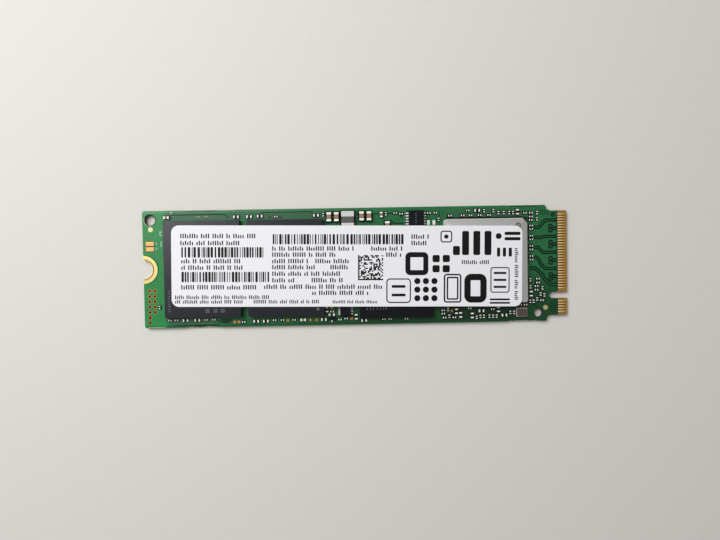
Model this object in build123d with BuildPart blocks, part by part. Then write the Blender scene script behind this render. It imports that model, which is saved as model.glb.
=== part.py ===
from build123d import *
import os

os.makedirs("parts", exist_ok=True)

# Sizes are in millimetres. X runs towards the edge connector, Y across the card and Z out of the
# component side. Z = 0 is the plain underside, and the origin is under the middle of the card.

# Board
board_thickness = 0.8
corner_radius = 0.45
edge_break = 0.04

# Edge connector: the tongue is as wide as its row of contacts and two margins
contact_pitch = 0.5
contact_width = 0.35
contact_length = 1.5
contact_thickness = 0.035
contact_count_before_key = 29
contact_count_at_key = 4
contact_count_after_key = 5
tongue_margin = 0.675
tongue_length = 4.0
tongue_corner_radius = 0.3
shoulder_depth = 1.075
shoulder_radius = 0.65
key_width = 1.2
key_depth = 3.5
bevel_length = 0.4
bevel_depth = 0.2
bevel_gap = 0.05

# Zones along the card, from the screw end to the tongue
end_zone = 4.2
flash_width = 14.1
flash_gap = 1.4
power_zone = 6.63
dram_length = 13.8
dram_gap = 2.07
controller_size = 15.8
signal_zone = 3.9

# Packages: all tall ones end at the same height above the board, where the label lies
package_height = 1.25
ball_height = 0.2
ball_margin = 0.7
substrate_thickness = 0.2
flash_length = 18.0
flash_shift = -0.05
dimple_depth = 0.05
flash_dimple_diameter = 0.6
flash_dimple_inset = 1.2
dram_width = 10.5
dram_height = 0.95
dram_drop = 0.75
controller_shift = 0.63
controller_substrate_thickness = 0.35
controller_substrate_inset = 0.15
lid_top_thickness = 0.35
lid_rim_width = 1.4
lid_edge = 0.2
lid_corner_radius = 0.65
lid_small_radius = 0.3
lid_chamfer_x = 1.0
lid_chamfer_y = 0.9
lid_dimple_diameter = 1.0
lid_dimple_inset_x = 1.8
lid_dimple_inset_y = 1.4
die_length = 8.4
die_width = 7.2
die_gap = 0.05

# Screw notch, tooling holes and bare pads
screw_radius = 1.75
screw_ring_radius = 2.75
tooling_diameter = 2.0
tooling_inset_x = 1.45
tooling_inset_y = 1.75
small_tooling_diameter = 1.6
small_tooling_inset_x = 1.65
small_tooling_inset_y = 1.55
fiducial_diameter = 0.9
fiducial_inset_x = 1.5
fiducial_inset_y = 3.5
shoulder_fiducial_inset_x = 0.25
shoulder_fiducial_inset_y = 2.55
probe_pad_length = 1.5
probe_pad_width = 0.78
probe_pad_pitch = 1.02
probe_pad_inset = 1.3
probe_pad_rise = 4.36
header_pitch = 1.0
header_inset = 1.0
header_drop = 4.0
header_counts = (7, 5)
header_pad_diameter = 0.72
header_hole_diameter = 0.4
header_sides = 12
pad_thickness = 0.035
spare_pad_size = 0.5
spare_pad_corner = 0.12
tinned_pad_length = 0.85
tinned_pad_width = 0.5

# Low ledges that breaking the card out of its panel leaves along both long edges
tab_length = 6.5
tab_depth = 0.3
tab_drop = 0.3
tab_end_angle = 20
tab_from_screw_end = 10.75
tab_from_shoulder = 4.5

# Leaded chips
lead_thickness = 0.1
lead_shoulder = 0.12
lead_leg = 0.08
lead_foot = 0.2
chip_standoff = 0.1
mould_draft = 8
switch_length = 2.9
switch_width = 3.0
switch_height = 0.85
switch_pitch = 0.5
switch_leads_per_side = 5
switch_lead_width = 0.22
switch_lead_reach = 0.45
switch_inset = 5.0
switch_drop = 0.15
sensor_length = 2.0
sensor_width = 2.0
sensor_height = 0.7
sensor_pitch = 0.4
sensor_leads_per_side = 4
sensor_lead_width = 0.18
sensor_lead_reach = 0.4
transistor_length = 1.3
transistor_width = 0.8
transistor_height = 0.6
transistor_pitch = 0.84
transistor_lead_width = 0.3
transistor_lead_reach = 0.38

# Supply regulator: a leadless chip standing on its solder pads
power_chip_size = 4.0
power_chip_height = 0.75
power_pad_thickness = 0.1
power_pad_pitch = 0.5
power_pads_per_side = 6
power_pad_length = 0.45
power_pad_width = 0.25
power_centre_pad = 2.4
power_chip_gap = 1.6
power_chip_share = 0.45

# Clock crystal
crystal_length = 2.1
crystal_width = 1.65
crystal_base_height = 0.35
crystal_lid_height = 0.2
crystal_rim = 0.12
crystal_corner_radius = 0.2
crystal_edge = 0.06
crystal_inset = 1.0
crystal_gap_share = 0.24
crystal_side_gaps = (0.38, 1.09)

# Two-ended chips: the metal ends stand a little proud of the body all round
end_wrap = 0.02
tiny_length = 0.6
tiny_width = 0.3
tiny_height = 0.3
tiny_end = 0.16
tiny_from_flash = 1.3
tiny_from_foot = 1.95
tiny_from_crystal = 0.5
small_length = 1.0
small_width = 0.5
small_height = 0.5
resistor_height = 0.36
small_end = 0.25
bulk_length = 1.65
bulk_width = 0.85
bulk_height = 0.8
bulk_end = 0.38
inductor_length = 3.2
inductor_width = 2.35
inductor_height = 1.05
inductor_end = 1.0

# Label, stuck on slightly askew
label_length = 65.3
label_width = 15.1
label_thickness = 0.1
label_radius = 1.4
label_turn = -0.97
label_inset = 1.45
label_shift = 0.07

# Lines across the card that follow from the sizes above
contact_positions = contact_count_before_key + contact_count_at_key + contact_count_after_key
contact_span = (contact_positions - 1) * contact_pitch
first_contact_y = contact_span / 2
tongue_width = contact_span + 2 * tongue_margin
card_width = tongue_width + 2 * shoulder_depth  # 22 on this card
card_top = card_width / 2
card_foot = -card_width / 2
bottom_contact_shift = -contact_pitch / 2
gap_start_y = first_contact_y - (contact_count_before_key - 1) * contact_pitch + bottom_contact_shift
gap_end_y = first_contact_y - (contact_count_before_key + contact_count_at_key) * contact_pitch
key_y = (gap_start_y + gap_end_y) / 2
flash_top = flash_shift + flash_length / 2
flash_foot = flash_shift - flash_length / 2
dram_foot = flash_foot - dram_drop
dram_top = dram_foot + dram_width
controller_top = controller_shift + controller_size / 2
controller_foot = controller_shift - controller_size / 2

# Lines along the card
package_row = 2 * flash_width + flash_gap + power_zone + dram_length + dram_gap + controller_size
card_length = end_zone + package_row + signal_zone + tongue_length  # 80 on this card
card_end = card_length / 2
card_start = -card_length / 2
shoulder_x = card_end - tongue_length
bevel_x = card_end - bevel_length
mask_x = bevel_x - bevel_gap - contact_length
flash_1_left = card_start + end_zone
flash_1_right = flash_1_left + flash_width
flash_2_left = flash_1_right + flash_gap
flash_2_right = flash_2_left + flash_width
dram_left = flash_2_right + power_zone
dram_right = dram_left + dram_length
controller_left = dram_right + dram_gap
controller_right = controller_left + controller_size
controller_x = (controller_left + controller_right) / 2

# Levels above the underside
board_top = board_thickness
substrate_level = board_top + ball_height
package_top = board_top + package_height

on_base = (Align.CENTER, Align.CENTER, Align.MIN)
upright = 90


def save(piece, name):
    piece.part.label = name
    export_step(piece.part, f"parts/{name}.step")


def at(x, y, turn=0):
    return Location((x, y, board_top), (0, 0, turn))


# Zones of small parts, each with its left, right, lower and upper edge. A part's place is given as
# shares of the zone's length and height, so the rows follow the packages beside them.
switch_x = controller_left - switch_inset
switch_y = flash_top - switch_drop
above_flash_1 = (flash_1_left, flash_1_right, flash_top, card_top)
below_flash_1 = (flash_1_left, flash_1_right, card_foot, flash_foot)
above_flash_2 = (flash_2_left, flash_2_right, flash_top, card_top)
below_flash_2 = (flash_2_left, flash_2_right, card_foot, flash_foot)
supply_row = (flash_2_right, switch_x, flash_top, card_top)
switch_corner = (switch_x, controller_left, flash_top, card_top)
sensor_corner = (flash_2_right, dram_left, card_foot, flash_foot)
below_dram = (dram_left, dram_right, card_foot, dram_foot)
above_controller = (controller_left, controller_right, controller_top, card_top)
below_controller = (controller_left, controller_right, card_foot, controller_foot)
beside_controller = (controller_right, shoulder_x, controller_foot, controller_top)
shoulder_corner = (controller_right, shoulder_x, controller_top, card_top)


def point(zone, share_x, share_y):
    left, right, foot, top = zone
    return left + share_x * (right - left), foot + share_y * (top - foot)


def spot(zone, share_x, share_y, turn=0):
    return at(*point(zone, share_x, share_y), turn)


# Circuit board
tooling_holes = [
    (card_start + tooling_inset_x, card_top - tooling_inset_y, tooling_diameter),
    (shoulder_x - small_tooling_inset_x, card_foot + small_tooling_inset_y, small_tooling_diameter),
]
header_places = [
    (card_start + header_inset + column * header_pitch, -header_drop - row * header_pitch)
    for column, count in enumerate(header_counts)
    for row in range(count)
]
tab_centres = (card_start + tab_from_screw_end, shoulder_x - tab_from_shoulder)
screw_end = Plane((card_start, 0, 0))
plating_recess = board_thickness - 2 * contact_thickness

with BuildPart() as circuit_board:
    with BuildSketch() as outline:
        with Locations((card_start, 0)):
            Rectangle(card_length - tongue_length, card_width, align=(Align.MIN, Align.CENTER))
        with Locations((shoulder_x, 0)):
            Rectangle(tongue_length, tongue_width, align=(Align.MIN, Align.CENTER))
        shoulders = outline.vertices().group_by(Axis.X)[1].sort_by(Axis.Y)
        fillet(shoulders[1:3], min(shoulder_radius, shoulder_depth - corner_radius - edge_break))
        corners = outline.vertices().group_by(Axis.Y)
        fillet(corners[0] + corners[-1], corner_radius)
        fillet(outline.vertices().group_by(Axis.X)[-1], tongue_corner_radius)
        with Locations((card_end, key_y)):
            SlotOverall(2 * key_depth, key_width, mode=Mode.SUBTRACT)
        with Locations((card_start, 0)):
            Circle(screw_radius + contact_thickness, mode=Mode.SUBTRACT)
        for hole_x, hole_y, diameter in tooling_holes:
            with Locations((hole_x, hole_y)):
                Circle(diameter / 2, mode=Mode.SUBTRACT)
        with Locations(*header_places):
            RegularPolygon(header_pad_diameter / 2, header_sides, mode=Mode.SUBTRACT)
    extrude(amount=board_thickness)
    # The bare end of the tongue is thinner by the contacts on both faces, and ends in a bevel
    with BuildSketch(Plane.XZ) as nose_relief:
        for face_level, inwards in ((0, 1), (board_top, -1)):
            floor_level = face_level + inwards * contact_thickness
            with BuildLine():
                Polyline(
                    (mask_x, face_level),
                    (mask_x, floor_level),
                    (bevel_x, floor_level),
                    (card_end, floor_level + inwards * bevel_depth),
                    (card_end, face_level),
                    close=True,
                )
            make_face()
    extrude(amount=tongue_width / 2, both=True, mode=Mode.SUBTRACT)
    # Seats of the plated ring, one on each face
    with BuildSketch(screw_end, screw_end.offset(board_thickness - contact_thickness)):
        Circle(screw_ring_radius)
    extrude(amount=contact_thickness, mode=Mode.SUBTRACT)
    # Ledges where the card was broken out of its panel
    with BuildSketch(Plane.XY.offset(board_top - tab_drop)):
        for edge_y, turn in ((card_foot, 0), (card_top, 180)):
            with Locations(*[(tab_x, edge_y) for tab_x in tab_centres]):
                Trapezoid(tab_length, tab_depth, tab_end_angle, rotation=turn, align=(Align.CENTER, Align.MIN))
    extrude(amount=tab_drop, mode=Mode.SUBTRACT)
save(circuit_board, "circuit_board")

# Plating round the screw notch: a ring on each face and the wall between them
with BuildPart() as screw_notch_plating:
    with BuildSketch(screw_end):
        Circle(screw_ring_radius)
        Circle(screw_radius, mode=Mode.SUBTRACT)
        Rectangle(
            screw_ring_radius, 2 * screw_ring_radius,
            align=(Align.MAX, Align.CENTER), mode=Mode.SUBTRACT,
        )
    extrude(amount=board_thickness)
    with BuildSketch(screw_end.offset(contact_thickness)):
        Circle(screw_ring_radius)
        Circle(screw_radius + contact_thickness, mode=Mode.SUBTRACT)
    extrude(amount=plating_recess, mode=Mode.SUBTRACT)
save(screw_notch_plating, "screw_notch_plating")

# Plated holes of the test header
with BuildPart() as test_header_plating:
    with BuildSketch():
        with Locations(*header_places):
            RegularPolygon(header_pad_diameter / 2, header_sides)
            RegularPolygon(header_hole_diameter / 2, header_sides, mode=Mode.SUBTRACT)
    extrude(amount=board_thickness)
save(test_header_plating, "test_header_plating")


# Card-edge contacts, flush with the faces of the board and broken by the key
def edge_contacts(name, floor_level, shift, places):
    with BuildPart() as contacts:
        with BuildSketch(Plane.XY.offset(floor_level)):
            with Locations(*[(mask_x, first_contact_y + shift - k * contact_pitch) for k in places]):
                Rectangle(contact_length, contact_width, align=(Align.MIN, Align.CENTER))
        extrude(amount=contact_thickness)
    save(contacts, name)


first_after_key = contact_count_before_key + contact_count_at_key
top_places = [
    *[k for k in range(contact_count_before_key)],
    *[first_after_key + k for k in range(contact_count_after_key)],
]
edge_contacts("top_edge_contacts", board_top - contact_thickness, 0, top_places)
edge_contacts("bottom_edge_contacts", 0, bottom_contact_shift, top_places[:-1])

# Bare pads on the component side
with BuildPart() as fiducial_pads:
    with BuildSketch(Plane.XY.offset(board_top)):
        with Locations(
            (card_start + fiducial_inset_x, card_top - fiducial_inset_y),
            (shoulder_x - shoulder_fiducial_inset_x, card_foot + shoulder_fiducial_inset_y),
        ):
            Circle(fiducial_diameter / 2)
    extrude(amount=pad_thickness)
save(fiducial_pads, "fiducial_pads")

with BuildPart() as probe_pads:
    with BuildSketch(Plane.XY.offset(board_top)):
        with Locations((card_start + probe_pad_inset, probe_pad_rise)):
            with GridLocations(0, probe_pad_pitch, 1, 2):
                Rectangle(probe_pad_length, probe_pad_width)
    extrude(amount=pad_thickness)
save(probe_pads, "probe_pads")

with BuildPart() as spare_copper_pads:
    with BuildSketch(Plane.XY.offset(board_top)) as spare_pads:
        with Locations(
            *[point(below_flash_1, share, 0.46) for share in (0.897, 0.954)],
            *[point(below_flash_2, share, 0.52) for share in (0.504, 0.806, 0.889)],
            point(sensor_corner, 0.211, 1.69),
            point(sensor_corner, 0.762, 0.56),
            point(below_controller, 0.101, 0.6),
        ):
            Rectangle(spare_pad_size, spare_pad_size)
        chamfer(spare_pads.vertices(), spare_pad_corner)
    extrude(amount=pad_thickness)
save(spare_copper_pads, "spare_copper_pads")

with BuildPart() as spare_tinned_pads:
    with BuildSketch(Plane.XY.offset(board_top)):
        with Locations(*[point(switch_corner, share, -0.46) for share in (0.47, 0.68)]):
            Rectangle(tinned_pad_width, tinned_pad_length)
    extrude(amount=pad_thickness)
save(spare_tinned_pads, "spare_tinned_pads")


# Packages on ball grids: the grid and the laminate that carries the package
def package_base(name, suffix, x, y, length, width, thickness):
    with BuildPart() as ball_grid:
        with Locations(at(x, y)):
            Box(length - 2 * ball_margin, width - 2 * ball_margin, ball_height, align=on_base)
    save(ball_grid, f"{name}_ball_grid{suffix}")
    with BuildPart() as substrate:
        with Locations((x, y, substrate_level)):
            Box(length, width, thickness, align=on_base)
    save(substrate, f"{name}_substrate{suffix}")


# Flash memory, with a pin mark that shows only on the second package
flash_mould_level = substrate_level + substrate_thickness
for number, left in ((1, flash_1_left), (2, flash_2_left)):
    flash_x = left + flash_width / 2
    package_base("flash", f"_{number}", flash_x, flash_shift, flash_width, flash_length,
                 substrate_thickness)
    with BuildPart() as flash_package:
        with Locations((flash_x, flash_shift, flash_mould_level)):
            Box(flash_width, flash_length, package_top - flash_mould_level, align=on_base)
        chamfer(flash_package.faces().sort_by(Axis.Z)[-1].edges(), edge_break)
        if number == 2:
            mark_x = left + flash_width - flash_dimple_inset
            mark_y = flash_foot + flash_dimple_inset
            with BuildSketch(Plane((mark_x, mark_y, package_top))):
                Circle(flash_dimple_diameter / 2)
            extrude(amount=-dimple_depth, mode=Mode.SUBTRACT)
    save(flash_package, f"flash_package_{number}")

# Working memory
dram_x = (dram_left + dram_right) / 2
dram_y = (dram_foot + dram_top) / 2
package_base("dram", "", dram_x, dram_y, dram_length, dram_width, substrate_thickness)
with BuildPart() as dram_package:
    with Locations((dram_x, dram_y, substrate_level + substrate_thickness)):
        Box(dram_length, dram_width, dram_height - ball_height - substrate_thickness, align=on_base)
    chamfer(dram_package.faces().sort_by(Axis.Z)[-1].edges(), edge_break)
save(dram_package, "dram_package")

# Controller: a die under a stamped lid whose cut corner marks the first pin
controller_base = controller_size - 2 * controller_substrate_inset
package_base("controller", "", controller_x, controller_shift, controller_base, controller_base,
             controller_substrate_thickness)
lid_level = substrate_level + controller_substrate_thickness
lid_height = package_top - lid_level
cavity_height = lid_height - lid_top_thickness

with BuildPart() as controller_lid:
    with BuildSketch(Plane((controller_x, controller_shift, lid_level))) as lid_outline:
        Rectangle(controller_size, controller_size)
        upper_left = lid_outline.vertices().group_by(Axis.Y)[-1].sort_by(Axis.X)[0]
        fillet(upper_left, lid_corner_radius)
        first_pin = lid_outline.vertices().group_by(Axis.Y)[-1].sort_by(Axis.X)[-1]
        chamfer(first_pin, lid_chamfer_x, lid_chamfer_y)
        fillet(lid_outline.vertices().group_by(Axis.Y)[0], lid_small_radius)
    extrude(amount=lid_height)
    chamfer(controller_lid.faces().sort_by(Axis.Z)[-1].edges(), lid_edge)
    with BuildSketch(Plane((controller_x, controller_shift, lid_level))):
        cavity_size = controller_size - 2 * lid_rim_width
        Rectangle(cavity_size, cavity_size)
    extrude(amount=cavity_height, mode=Mode.SUBTRACT)
    mark_x = controller_right - lid_dimple_inset_x
    mark_y = controller_top - lid_dimple_inset_y
    with BuildSketch(Plane((mark_x, mark_y, package_top))):
        Circle(lid_dimple_diameter / 2)
    extrude(amount=-dimple_depth, mode=Mode.SUBTRACT)
save(controller_lid, "controller_lid")

with BuildPart() as controller_die:
    with Locations((controller_x, controller_shift, lid_level)):
        Box(die_length, die_width, cavity_height - die_gap, align=on_base)
save(controller_die, "controller_die")


# Leaded chips: a body that tapers away from the level of its leads, and bent leads
def moulded_body(name, x, y, length, width, height):
    half = (height - lead_thickness) / 2
    with BuildPart() as body:
        with BuildSketch(Plane((x, y, board_top + chip_standoff + half))):
            Rectangle(length, width)
        extrude(amount=lead_thickness)
        extrude(body.faces().sort_by(Axis.Z)[-1], amount=half, taper=mould_draft)
        extrude(body.faces().sort_by(Axis.Z)[0], amount=half, taper=mould_draft)
    save(body, name)


def bent_leads(name, chip_height, seats, lead_width, reach):
    level = chip_standoff + chip_height / 2
    with BuildPart() as leads:
        with BuildSketch(*seats):
            with BuildLine():
                Polyline(
                    (0, level + lead_thickness / 2),
                    (lead_shoulder, level + lead_thickness / 2),
                    (reach - lead_foot, lead_thickness),
                    (reach, lead_thickness),
                    (reach, 0),
                    (reach - lead_foot - lead_leg, 0),
                    (lead_shoulder - lead_leg, level - lead_thickness / 2),
                    (0, level - lead_thickness / 2),
                    close=True,
                )
            make_face()
        extrude(amount=lead_width / 2, both=True)
    save(leads, name)


# Upright planes where the leads leave one side of a chip, centred on x, y
def side_seats(x, y, direction, half_size, pitch, count):
    out_x, out_y = direction
    seats = []
    for k in range(count):
        slide = (k - (count - 1) / 2) * pitch
        foot = (x + out_x * half_size - out_y * slide, y + out_y * half_size + out_x * slide)
        seats.append(Plane((*foot, board_top), x_dir=(out_x, out_y, 0), z_dir=(out_y, -out_x, 0)))
    return seats


moulded_body("switch_chip_body", switch_x, switch_y, switch_length, switch_width, switch_height)
switch_seats = [
    seat
    for out_x in (-1, 1)
    for seat in side_seats(switch_x, switch_y, (out_x, 0), switch_length / 2,
                           switch_pitch, switch_leads_per_side)
]
bent_leads("switch_chip_leads", switch_height, switch_seats, switch_lead_width, switch_lead_reach)

sensor_x, sensor_y = point(sensor_corner, 0.596, 1.35)
moulded_body("sensor_chip_body", sensor_x, sensor_y, sensor_length, sensor_width, sensor_height)
sensor_seats = [
    seat
    for out_x in (-1, 1)
    for seat in side_seats(sensor_x, sensor_y, (out_x, 0), sensor_length / 2,
                           sensor_pitch, sensor_leads_per_side)
]
bent_leads("sensor_chip_leads", sensor_height, sensor_seats, sensor_lead_width, sensor_lead_reach)

transistor_x, transistor_y = point(sensor_corner, 0.199, 0.69)
moulded_body("transistor_body", transistor_x, transistor_y, transistor_length, transistor_width,
             transistor_height)
half_transistor = transistor_width / 2
transistor_seats = [
    *side_seats(transistor_x, transistor_y, (0, 1), half_transistor, transistor_pitch, 2),
    *side_seats(transistor_x, transistor_y, (0, -1), half_transistor, transistor_pitch, 1),
]
bent_leads("transistor_leads", transistor_height, transistor_seats, transistor_lead_width,
           transistor_lead_reach)

# Supply regulator, hidden under the label
power_x = dram_left + power_chip_share * dram_length
power_y = dram_top + power_chip_gap + power_chip_size / 2
pad_ring = (power_chip_size - power_pad_length) / 2
with BuildPart() as power_chip_pads:
    with BuildSketch(Plane((power_x, power_y, board_top))):
        Rectangle(power_centre_pad, power_centre_pad)
        with GridLocations(2 * pad_ring, power_pad_pitch, 2, power_pads_per_side):
            Rectangle(power_pad_length, power_pad_width)
        with GridLocations(power_pad_pitch, 2 * pad_ring, power_pads_per_side, 2):
            Rectangle(power_pad_width, power_pad_length)
    extrude(amount=power_pad_thickness)
save(power_chip_pads, "power_chip_pads")

with BuildPart() as power_chip_body:
    with Locations((power_x, power_y, board_top + power_pad_thickness)):
        Box(power_chip_size, power_chip_size, power_chip_height - power_pad_thickness, align=on_base)
save(power_chip_body, "power_chip_body")

# Clock crystal: a ceramic tray and a welded lid
crystal_room = controller_foot - card_foot - crystal_width - tiny_width
crystal_gap = crystal_gap_share * crystal_room
crystal_row_y = controller_foot - crystal_gap - tiny_width / 2
crystal_x = controller_right - crystal_inset
crystal_y = controller_foot - 2 * crystal_gap - tiny_width - crystal_width / 2
with BuildPart() as crystal_base:
    with BuildSketch(Plane((crystal_x, crystal_y, board_top))):
        RectangleRounded(crystal_length, crystal_width, crystal_corner_radius)
    extrude(amount=crystal_base_height)
save(crystal_base, "crystal_base")

with BuildPart() as crystal_lid:
    with BuildSketch(Plane((crystal_x, crystal_y, board_top + crystal_base_height))):
        RectangleRounded(
            crystal_length - 2 * crystal_rim, crystal_width - 2 * crystal_rim,
            crystal_corner_radius - crystal_rim / 2,
        )
    extrude(amount=crystal_lid_height)
    chamfer(crystal_lid.faces().sort_by(Axis.Z)[-1].edges(), crystal_edge)
save(crystal_lid, "crystal_lid")


# Two-ended chips: a ceramic body held between two metal ends that stand on the board
def two_ended_chips(body_name, ends_name, places, length, width, height, end_length):
    body_length = length - 2 * end_length
    end_x = (length - end_length) / 2
    with BuildPart() as bodies:
        with Locations(*places):
            with Locations((0, 0, end_wrap)):
                Box(body_length, width - 2 * end_wrap, height - 2 * end_wrap, align=on_base)
    save(bodies, body_name)
    with BuildPart() as ends:
        with Locations(*places):
            with Locations((-end_x, 0, 0), (end_x, 0, 0)):
                Box(end_length, width, height, align=on_base)
    save(ends, ends_name)


inductor_places = [spot(supply_row, 0.265, -0.11, upright)]
two_ended_chips("inductor_body", "inductor_ends", inductor_places,
                inductor_length, inductor_width, inductor_height, inductor_end)

# Supply capacitors on both sides of the inductor
bulk_places = [
    *[spot(supply_row, share, 0.185, upright) for share in (0.064, 0.144)],
    *[spot(supply_row, share, 0.22, upright) for share in (0.414, 0.494)],
    spot(supply_row, 0.69, -0.7, upright),
]
two_ended_chips("bulk_capacitor_bodies", "bulk_capacitor_ends", bulk_places,
                bulk_length, bulk_width, bulk_height, bulk_end)

small_capacitor_places = [
    spot(above_flash_1, 0.028, 0.36),
    spot(below_flash_2, 0.713, 0.56),
    spot(supply_row, 0.626, 0.33, upright),
]
two_ended_chips("small_capacitor_bodies", "small_capacitor_ends", small_capacitor_places,
                small_length, small_width, small_height, small_end)

resistor_places = [
    # beside the flash packages, upper and lower edge
    spot(above_flash_1, 0.947, 0.33),
    spot(above_flash_2, 0.021, 0.33),
    *[spot(above_flash_2, share, 0.36) for share in (0.163, 0.908)],
    *[spot(below_flash_1, share, 0.72) for share in (0.248, 0.404)],
    *[spot(below_flash_2, share, 0.5) for share in (0.085, 0.214)],
    spot(below_flash_2, 0.988, 0.55),
    # between the second flash package and the working memory
    spot(sensor_corner, 0.065, 1.51, upright),
    spot(sensor_corner, 0.897, 0.76, upright),
    spot(below_dram, 0.057, 0.65),
    # round the controller
    spot(above_controller, 0.415, 0.65),
    spot(above_controller, 0.899, 0.49, upright),
    spot(below_controller, 0.153, 0.58, upright),
    spot(below_controller, 0.203, 0.39, upright),
    spot(below_controller, 0.342, 0.35, upright),
    spot(below_controller, 0.453, 0.58),
    spot(below_controller, 0.658, 0.64, upright),
    spot(below_controller, 0.728, 0.335),
    spot(beside_controller, 0.218, 0.095, upright),
]
two_ended_chips("chip_resistor_bodies", "chip_resistor_ends", resistor_places,
                small_length, small_width, resistor_height, small_end)

# Coupling capacitors of the four signal pairs
coupling_places = [
    spot(beside_controller, 0.249, 0.524 + 0.1215 * pair + 0.0215 * side)
    for pair in range(4)
    for side in (-1, 1)
]
tiny_places = [
    *coupling_places,
    # screw end
    at(flash_1_left - tiny_from_flash, flash_foot + tiny_from_foot, upright),
    # along the edges of the flash packages
    *[spot(below_flash_1, share, 0.733) for share in (0.043, 0.126, 0.521, 0.624)],
    spot(below_flash_1, 1.018, 0.46),
    *[spot(below_flash_2, share, 0.575) for share in (0.33, 0.435, 0.591)],
    spot(above_flash_2, 0.376, 0.3),
    # between the second flash package and the working memory
    spot(sensor_corner, 0.214, 1.3),
    spot(sensor_corner, 0.43, 0.51),
    spot(sensor_corner, 0.606, 0.6),
    # along the supply row, as far as the controller
    *[spot(supply_row, share, 0.4, upright) for share in (0.003, 0.677)],
    spot(supply_row, 0.777, 0.46),
    spot(supply_row, 0.84, 0.37),
    *[spot(switch_corner, share, 0.42) for share in (0.49, 0.736)],
    spot(switch_corner, 0.85, -0.195, upright),
    # below the working memory
    *[spot(below_dram, share, 0.775) for share in (0.327, 0.414, 0.636)],
    # above the controller
    *[spot(above_controller, share, 0.28) for share in (0.089, 0.242, 0.335, 0.445, 0.557)],
    spot(above_controller, 0.303, 0.656),
    *[spot(above_controller, share, 0.607, upright) for share in (0.5, 0.611)],
    *[spot(above_controller, share, 0.44, upright) for share in (0.671, 0.735, 0.8, 0.847)],
    spot(above_controller, 0.987, 0.405),
    *[spot(shoulder_corner, 0.24, share) for share in (0.109, 0.405)],
    spot(shoulder_corner, 0.544, 0.405, upright),
    # beside the controller, at the upper corner and below the signal pairs
    spot(beside_controller, 0.231, 0.976),
    spot(beside_controller, 0.544, 0.989, upright),
    *[spot(beside_controller, 0.185, share, upright) for share in (0.178, 0.261)],
    *[spot(beside_controller, 0.559, share) for share in (0.227, 0.273)],
    *[spot(beside_controller, 0.487, share) for share in (0.14, 0.185)],
    spot(beside_controller, 0.779, 0.162, upright),
    spot(beside_controller, 0.872, 0.076, upright),
    spot(beside_controller, 0.685, 0.088, upright),
    spot(beside_controller, 0.513, 0.03, upright),
    spot(beside_controller, 0.744, 0.013),
    *[spot(beside_controller, share, 0.004, upright) for share in (0.179, 0.338)],
    # below the controller
    *[at(crystal_x + side * tiny_from_crystal, crystal_row_y) for side in (-0.5, 1.5)],
    *[at(crystal_x - crystal_length / 2 - gap, crystal_y, upright) for gap in crystal_side_gaps],
    *[spot(below_controller, -0.006, share) for share in (0.466, 0.635)],
    spot(below_controller, 0.053, 0.678, upright),
    spot(below_controller, 0.068, 0.33, upright),
    *[spot(below_controller, share, 0.265) for share in (0.009, 0.127)],
    spot(below_controller, 0.313, 0.718),
    spot(below_controller, 0.396, 0.247, upright),
    *[spot(below_controller, share, 0.295, upright) for share in (0.441, 0.484, 0.549, 0.594, 0.637)],
    spot(below_controller, 0.589, 0.651),
]
two_ended_chips("tiny_chip_bodies", "tiny_chip_ends", tiny_places,
                tiny_length, tiny_width, tiny_height, tiny_end)

# Label
label_x = flash_1_left + label_inset + label_length / 2
label_plane = Plane((label_x, label_shift, package_top)).rotated((0, 0, label_turn))
with BuildPart() as label:
    with BuildSketch(label_plane):
        RectangleRounded(label_length, label_width, label_radius)
    extrude(amount=label_thickness)
save(label, "label")
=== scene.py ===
import math
import random
import bpy
from mathutils import Matrix, Vector


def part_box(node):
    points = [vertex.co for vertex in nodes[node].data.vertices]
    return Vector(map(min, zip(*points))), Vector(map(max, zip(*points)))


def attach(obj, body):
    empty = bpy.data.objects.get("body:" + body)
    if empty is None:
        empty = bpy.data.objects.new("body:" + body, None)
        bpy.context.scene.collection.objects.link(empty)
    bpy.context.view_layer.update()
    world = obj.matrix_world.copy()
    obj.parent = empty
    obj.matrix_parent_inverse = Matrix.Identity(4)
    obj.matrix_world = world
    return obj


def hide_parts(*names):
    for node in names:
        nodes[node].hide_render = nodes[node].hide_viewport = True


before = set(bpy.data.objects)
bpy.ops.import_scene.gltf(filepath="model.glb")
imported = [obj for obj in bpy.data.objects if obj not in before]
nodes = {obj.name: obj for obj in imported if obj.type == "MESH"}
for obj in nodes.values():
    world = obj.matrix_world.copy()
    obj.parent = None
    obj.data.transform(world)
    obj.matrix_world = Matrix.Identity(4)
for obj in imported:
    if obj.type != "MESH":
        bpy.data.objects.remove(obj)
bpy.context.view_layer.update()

mm = 0.001
scene = bpy.context.scene
boardLow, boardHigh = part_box("circuit_board")
boardTop = boardHigh.z
labelLow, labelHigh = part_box("label")
labelTop = labelHigh.z
print("card loaded,", len(nodes), "nodes")

# settings and sockets that many nodes share
colourMix = {"data_type": "RGBA"}
smoothStep = {"interpolation_type": "SMOOTHSTEP"}
mixFactor, mixA, mixB = 0, 6, 7


# small helpers
def toLinear(hexText):
    channels = []
    for k in (0, 2, 4):
        v = int(hexText[k:k + 2], 16) / 255
        channels.append(v / 12.92 if v <= 0.04045 else ((v + 0.055) / 1.055) ** 2.4)
    return (*channels, 1.0)


def setInputs(node, inputs):
    # an input is a value, a hex colour, a socket, or a node that stands for its first live output
    for key, value in inputs.items():
        if isinstance(value, bpy.types.Node):
            value = next(output for output in value.outputs if output.enabled)
        if isinstance(value, bpy.types.NodeSocket):
            node.id_data.links.new(value, node.inputs[key])
        else:
            node.inputs[key].default_value = toLinear(value) if isinstance(value, str) else value


def addNode(tree, kind, settings=None, inputs=None):
    node = tree.nodes.new("ShaderNode" + kind)
    for key, value in (settings or {}).items():
        setattr(node, key, value)
    setInputs(node, inputs or {})
    return node


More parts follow.
